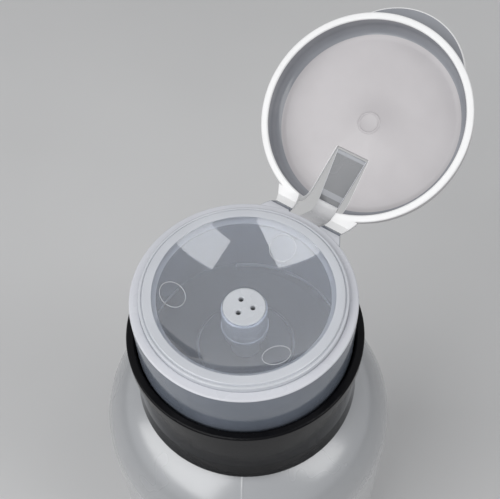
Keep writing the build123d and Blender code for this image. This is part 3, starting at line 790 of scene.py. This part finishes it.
# Round moulding marks on the bowl's inside, painted pale: painted highlight on their thin ridges
lean = math.asin(ring_mark_circle / bowl_radius)
mark_depth = math.sqrt(bowl_radius**2 - ring_mark_radius**2)
mark_outline = [
    (ring_mark_radius + across, along)
    for across, along in (on_circle(ring_mark_line_radius, a) for a in even_turn(mark_line_steps))
]
for number, degrees in enumerate(ring_mark_degrees, 1):
    turn = math.radians(degrees)
    normal = Vector((*on_circle(-math.sin(lean), turn), math.cos(lean)))
    middle = Vector((0, 0, bowl_centre)) - normal * mark_depth
    facing = Matrix.Translation(middle) @ normal.to_track_quat("Z", "Y").to_matrix().to_4x4()
    mark = lathe(f"dish_mark_{number}", mark_outline, facing, even_turn(mark_steps))
    dressed(mark, mark_painted_highlight, "dish", "head")

# Nozzle: a socket over the stem, whose neck comes up level with the bowl and has three outlets
nozzle_roof = nozzle_high.z - nozzle_roof_thickness
neck_low = bowl_centre - math.sqrt(bowl_outer**2 - dish_hole_radius**2) - nozzle_neck_gap
nozzle_outline = rounded(
    [
        (0, nozzle_high.z),
        (nozzle_neck_radius, nozzle_high.z, nozzle_edge_radius),
        (nozzle_neck_radius, neck_low),
        (nozzle_radius, neck_low, nozzle_step_radius),
        (nozzle_radius, nozzle_low.z + nozzle_foot_height, nozzle_foot_edge_radius),
        (nozzle_foot_radius, nozzle_low.z + nozzle_foot_height, nozzle_foot_edge_radius),
        (nozzle_foot_radius, nozzle_low.z),
        (nozzle_bore, nozzle_low.z),
        (nozzle_bore, nozzle_roof),
        (ball_stop_radius, nozzle_roof),
        (ball_stop_radius, nozzle_high.z - ball_stop_drop),
        (0, nozzle_high.z - ball_stop_drop),
    ]
)
nozzle = lathe("nozzle_socket", nozzle_outline)
hole_outline = [
    (0, nozzle_high.z + mm),
    (nozzle_hole_radius + mm, nozzle_high.z + mm),
    (nozzle_hole_radius, nozzle_high.z - nozzle_hole_mouth),
    (nozzle_hole_radius, nozzle_roof - mm),
    (0, nozzle_roof - mm),
]
for number in range(nozzle_hole_count):
    turn = nozzle_hole_turn + math.tau * number / nozzle_hole_count
    place = Matrix.Translation((*on_circle(nozzle_hole_circle, turn), 0))
    hole = lathe("hole", hole_outline, place, even_turn(hole_steps))
    combined(nozzle, hole, "DIFFERENCE")
dressed(nozzle, milky_painted_light, "nozzle", "head", "nozzle")
# The nozzle's sides are painted brighter than its top: painted light.
zoned(nozzle, outlet_plastic, lambda place: place.z > neck_low)

# Lid: a shallow cap turned on its axis and left open along the tongue's slot
lid_bore = cup_radius - lid_wall
lid_inner_top = lid_height - lid_top_thickness
slot_end_reach = tongue_plate_reach - slot_end_gap
slot_corner_radius = math.hypot(slot_end_half_width, slot_end_reach)
slot_half = linear((slot_end_reach, slot_end_half_width), (lid_bore, slot_mouth_half_width))


def slot_gap_angle(radius):
    """Half the angle that the slot takes from a ring of the lid."""
    if radius <= slot_corner_radius:
        return math.atan2(slot_end_half_width, slot_end_reach)
    gap = math.asin(slot_end_half_width / radius)
    for _ in range(8):
        gap = math.asin(slot_half(radius * math.cos(gap)) / radius)
    return gap


def slotted_cap(name, outline, matrix, round_steps=180, gap_steps=12):
    """An outline from the axis, over the rim and back to the axis, turned but for the slot."""
    bm = bmesh.new()
    rings = []
    for radius, height in outline:
        gap = slot_gap_angle(radius)
        whole = radius <= slot_corner_radius + 0.001 * mm
        ring = []
        for step in range(round_steps + 1):
            angle = math.pi / 2 - gap - (math.tau - 2 * gap) * step / round_steps
            ring.append(bm.verts.new((*on_circle(radius, angle), height)))
        if whole:
            weight = (radius / slot_corner_radius) ** 2
            for step in range(1, gap_steps):
                angle = math.pi / 2 + gap - 2 * gap * step / gap_steps
                straight = slot_end_reach / math.sin(angle) / slot_corner_radius
                reach = radius * (1 + weight * (straight - 1))
                ring.append(bm.verts.new((*on_circle(reach, angle), height)))
        rings.append((whole, ring))
    for (whole_a, a), (whole_b, b) in zip(rings, rings[1:]):
        if whole_a and whole_b:
            pairs = list(zip(range(len(a)), list(range(1, len(a))) + [0]))
        else:
            pairs = [(step, step + 1) for step in range(round_steps)]
        for left, right in pairs:
            bm.faces.new((a[left], a[right], b[right], b[left]))
    cut = [ring for whole, ring in rings if not whole]
    first = next(i for i, (whole, _) in enumerate(rings) if not whole) - 1
    last = first + len(cut) + 1
    upper, lower = rings[first][1], rings[last][1]
    bm.faces.new([ring[0] for _, ring in rings[first : last + 1]])
    bm.faces.new([ring[round_steps] for _, ring in rings[first : last + 1]])
    span = list(range(round_steps, len(upper))) + [0]
    for left, right in zip(span, span[1:]):
        bm.faces.new((upper[left], upper[right], lower[right], lower[left]))
    return to_object(name, bm, matrix)


mark_low = gate_mark_radius - gate_mark_width / 2
mark_high = gate_mark_radius + gate_mark_width / 2
lid_profile = rounded(
    [
        (0, lid_height),
        (slot_corner_radius / 2, lid_height),
        (slot_corner_radius, lid_height),
        (cup_radius - lid_draft, lid_height, lid_outer_fillet),
        (cup_radius, lid_seat_gap, lid_rim_fillet),
        (lid_bore, lid_seat_gap, lid_rim_fillet),
        (lid_bore, lid_inner_top, lid_inner_fillet),
        (slot_corner_radius, lid_inner_top),
        (mark_high + gate_mark_height, lid_inner_top),
        (mark_high, lid_inner_top - gate_mark_height),
        (mark_low, lid_inner_top - gate_mark_height),
        (mark_low - gate_mark_height, lid_inner_top),
        (0, lid_inner_top),
    ],
    long_arc_steps,
)
lid = bevelled(slotted_cap("lid_cap", lid_profile, None), edge_bevel)
ear_end = hinge_reach + ear_end_depth
ear_outline = [
    (strap_foot_reach, lid_seat_gap),
    (cup_radius, lid_seat_gap),
    (hinge_reach, ear_end_gap - hinge_drop),
    (ear_end, ear_end_rise - hinge_drop),
    (ear_end, ear_end_rise + ear_end_depth - hinge_drop),
    (cup_radius, ear_root_rise + lid_seat_gap),
    (strap_foot_reach, ear_root_rise + lid_seat_gap),
]
ear_plan = (
    (strap_foot_reach, slot_mouth_half_width, strap_foot_outer_half),
    (ear_end, hinge_inner_half, hinge_outer_half),
)
for ear in hinge_strap("ear", ear_outline, ear_plan, None):
    combined(lid, ear, "UNION")


def tab_plan(steps=64):
    """The thumb tab's plan: a large arc outside, and the lid's own round inside."""
    centre = -(cup_radius + tab_reach - tab_radius)
    inner = cup_radius - tab_root_depth
    # Where the tab's circle meets the inner circle
    cross_y = (tab_radius**2 - inner**2 - centre**2) / (-2 * centre)
    cross_x = math.sqrt(inner**2 - cross_y**2)
    outer_start = math.atan2(cross_y - centre, cross_x)
    inner_start = math.atan2(cross_y, cross_x)
    outer = [outer_start + (-math.pi - 2 * outer_start) * s / steps for s in range(steps + 1)]
    inside = [inner_start + (-math.pi - 2 * inner_start) * s / steps for s in range(steps, -1, -1)]
    return [(tab_radius * math.cos(a), centre + tab_radius * math.sin(a)) for a in outer] + [
        (inner * math.cos(a), inner * math.sin(a)) for a in inside[1:-1]
    ]


def plate(name, plan, low, thickness):
    """A flat plate with an (x, y) plan."""
    bm = bmesh.new()
    under = [bm.verts.new((x, y, low)) for x, y in plan]
    over = [bm.verts.new((x, y, low + thickness)) for x, y in plan]
    bm.faces.new(under)
    bm.faces.new(over)
    for index in range(len(plan)):
        after = (index + 1) % len(plan)
        bm.faces.new((under[index], under[after], over[after], over[index]))
    return to_object(name, bm)


tab_low = lid_height - tab_top_drop - tab_thickness
tab = plate("tab", tab_plan(), tab_low, tab_thickness)
combined(lid, bevelled(tab, tab_edge_radius, tab_bevel_segments), "UNION")
lid.data.transform(lid_matrix)
plate_reach = lid_bore - lid_inner_fillet / 2
dressed(lid, plate_plastic, "lid", "lid", "lid")
# The lid's inner wall is painted darker than its plate: painted shade.
zoned(
    lid,
    wall_shade_and_plate_light,
    lambda place: place.z < lid_inner_top - zone_margin
    and plate_reach < place.xy.length < lid_bore + zone_margin,
    lid_matrix,
)
tab_centre = Vector((0, tab_radius - tab_reach - cup_radius))
# The tab's flat underside is painted darker: painted shade.
zoned(
    lid,
    wall_shade_and_plate_light,
    lambda place: place.y < tab_face_depth - cup_radius
    and abs(place.x) < mm
    and abs(place.z - tab_low) < zone_flatness,
    lid_matrix,
)
# The lid's ring, ears, tab rim and slot edges are painted pale: painted edge glow.
zoned(
    lid,
    ring_painted_glow,
    lambda place: place.z < lid_seat_gap + lid_rim_fillet
    or place.y > cup_radius
    or (
        place.y < 0
        and place.xy.length > cup_radius + zone_margin
        and (place.xy - tab_centre).length > tab_radius - tab_edge_radius
    )
    or (place.y > slot_end_reach and abs(abs(place.x) - slot_half(place.y)) < edge_bevel),
    lid_matrix,
)


def film(name, start, end, half_in, half_out, thickness, steps=10):
    """A thin fold between two (Y, Z) points, from X = half_in to X = half_out."""
    along = Vector((end[0] - start[0], end[1] - start[1]))
    across = Vector((-along.y, along.x)).normalized() * thickness / 2
    middle = [Vector(start) + along * step / steps for step in range(steps + 1)]
    side = [p + across for p in middle] + [p - across for p in reversed(middle)]
    return strap(name, [(p.x, p.y) for p in side], lambda y: half_in, lambda y: half_out)


# Hinge films: straight strips from the cup's lugs to the lid's ears
film_start = (lug_end - film_overlap, hinge_at.z - film_drop)
ear_face = in_side_plane(
    (hinge_reach + ear_end_depth / 2, rim_z - hinge_drop + (ear_end_gap + ear_end_rise) / 2),
    (hinge_at.y, hinge_at.z),
    -lid_open_angle,
)
for side, word in ((-1, "left"), (1, "right")):
    web = film(
        f"hinge_web_{word}",
        film_start,
        ear_face,
        side * hinge_inner_half,
        side * hinge_outer_half,
        film_thickness,
    )
    dressed(web, natural, "cup", None, f"hinge_film_{word}")
    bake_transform(web)

# Snap tongue
half_thickness = tongue_thickness / 2
bend_shift = half_thickness * math.tan(tongue_knee_angle / 2)
knee_tip = (
    tongue_foot_length + tongue_knee_length * math.cos(tongue_knee_angle),
    tongue_knee_length * math.sin(tongue_knee_angle),
)
knee_side = (
    half_thickness * math.sin(tongue_knee_angle),
    half_thickness * math.cos(tongue_knee_angle),
)
foot_outline = rounded(
    [
        (tongue_film_gap, -half_thickness),
        (tongue_foot_length + bend_shift, -half_thickness, tongue_knee_radius + half_thickness),
        (knee_tip[0] + knee_side[0], knee_tip[1] - knee_side[1]),
        (knee_tip[0] - knee_side[0], knee_tip[1] + knee_side[1]),
        (tongue_foot_length - bend_shift, half_thickness, tongue_knee_radius - half_thickness),
        (tongue_film_gap, half_thickness),
    ],
    knee_arc_steps,
)
foot = strap(
    "tongue_foot_half",
    foot_outline,
    lambda y: -tongue_foot_half_width,
    lambda y: tongue_foot_half_width,
    foot_matrix,
)
# The tongue's foot is painted pale: painted light.
dressed(bevelled(foot, edge_bevel), tongue_foot_painted_light, "cup", "tongue_foot", "tongue_foot")
half_width = linear((0, tongue_foot_half_width), (plate_link, tongue_end_half_width))
plate_outline = [
    (0, -half_thickness),
    (plate_link - tongue_film_gap, -half_thickness),
    (plate_link - tongue_film_gap, half_thickness),
    (0, half_thickness),
]
tongue_plate = strap(
    "tongue_plate_half",
    subdivided(plate_outline, plate_step),
    lambda y: -half_width(y),
    half_width,
    plate_matrix,
)
# The tongue's plate is painted dark: painted shade.
dressed(bevelled(tongue_plate, edge_bevel), tongue_plate_painted_shade, "cup", "tongue_plate", "tongue_plate")
# Lighter bands across the plate and at its end: painted light.
zoned(
    tongue_plate,
    wall_shade_and_plate_light,
    lambda place: plate_light_start < place.y < plate_light_end
    or plate_link - place.y < plate_end_band,
    plate_matrix,
)
# The knee edge and the side edges are painted paler: painted edge highlights.
zoned(
    tongue_plate,
    rim_painted_glow,
    lambda place: place.y < plate_knee_edge
    or abs(place.x) > half_width(place.y) - edge_bevel,
    plate_matrix,
)

# Return spring, a copy of the frame's spring in a mesh of its own
spring_node = frame["nodes"]["return_spring"]
spring = bpy.data.objects.new("return_spring_wire", spring_node.data.copy())
spring.matrix_world = spring_node.matrix_world.copy()
bpy.context.scene.collection.objects.link(spring)
dressed(spring, wire, "spring_steel", "pump", "return_spring")
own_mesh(spring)

# Floor, lamps, world and camera
bpy.ops.mesh.primitive_plane_add(size=floor_size, location=(0, 0, -floor_gap))
floor = bpy.context.object
floor.name = "floor"
floor_paint = moulded(
    "floor_paint", gray(0.60), gray(0.64), (0.55, 0.65), clouds=8.0, grain=900.0, relief=0.05
)
floor.data.materials.append(floor_paint)


def softbox(name, place, facing, width, height, radiance):
    """A rectangular lamp with its middle at a place from the cup's rim, turned to face a way."""
    lamp = bpy.data.lights.new(name, "AREA")
    lamp.shape = "RECTANGLE"
    lamp.size = width
    lamp.size_y = height
    lamp.energy = radiance * math.pi * width * height
    holder = bpy.data.objects.new(name, lamp)
    holder.location = Vector((0, 0, rim_z)) + Vector(place)
    holder.rotation_mode = "QUATERNION"
    holder.rotation_quaternion = Vector(facing).to_track_quat("-Z", "Y")
    holder.visible_camera = False
    bpy.context.scene.collection.objects.link(holder)
    return holder


softbox("left_softbox", (-0.120, -0.443, 0.512), (0.615, 0.770, -0.165), 0.705, 0.77, 2.75)
softbox("right_softbox", (0.480, 0.045, 0.510), (-0.685, -0.065, -0.729), 0.34, 0.72, 2.3)

# World: a pale studio to the eye and in reflections, and a dim fill on matt surfaces
world = bpy.data.worlds.new("studio")
bpy.context.scene.world = world
world.use_nodes = True
studio_nodes, studio_links = world.node_tree.nodes, world.node_tree.links
studio_colour = (0.85, 0.86, 0.88, 1)
fill = studio_nodes["Background"]
fill.inputs["Color"].default_value = studio_colour
fill.inputs["Strength"].default_value = 0.35
backdrop = studio_nodes.new("ShaderNodeBackground")
backdrop.inputs["Color"].default_value = studio_colour
rays = studio_nodes.new("ShaderNodeLightPath")
seen = rays.outputs["Is Camera Ray"]
for ray in ("Is Glossy Ray", "Is Transmission Ray"):
    either = studio_nodes.new("ShaderNodeMath")
    either.operation = "MAXIMUM"
    studio_links.new(seen, either.inputs[0])
    studio_links.new(rays.outputs[ray], either.inputs[1])
    seen = either.outputs["Value"]
choice = studio_nodes.new("ShaderNodeMixShader")
studio_links.new(seen, choice.inputs["Fac"])
studio_links.new(fill.outputs["Background"], choice.inputs[1])
studio_links.new(backdrop.outputs["Background"], choice.inputs[2])
studio_links.new(choice.outputs["Shader"], studio_nodes["World Output"].inputs["Surface"])

camera_place = Vector((0.05399, -0.07389, 0.27650))
camera_azimuth = math.radians(35.25)
camera_elevation = math.radians(56.08)
camera_roll = math.radians(-1.75)
camera_lens = 68.18
camera = bpy.data.cameras.new("camera")
camera.lens = camera_lens
camera.sensor_width = 36.0
camera_holder = bpy.data.objects.new("camera", camera)
looking_back = Vector(
    (
        math.sin(camera_azimuth) * math.cos(camera_elevation),
        -math.cos(camera_azimuth) * math.cos(camera_elevation),
        math.sin(camera_elevation),
    )
)
camera_holder.location = camera_place
camera_holder.rotation_mode = "QUATERNION"
camera_holder.rotation_quaternion = (
    (-looking_back).to_track_quat("-Z", "Y").to_matrix() @ Matrix.Rotation(camera_roll, 3, "Z")
).to_quaternion()
bpy.context.scene.collection.objects.link(camera_holder)
bpy.context.scene.camera = camera_holder
bpy.context.scene.view_settings.view_transform = "Standard"
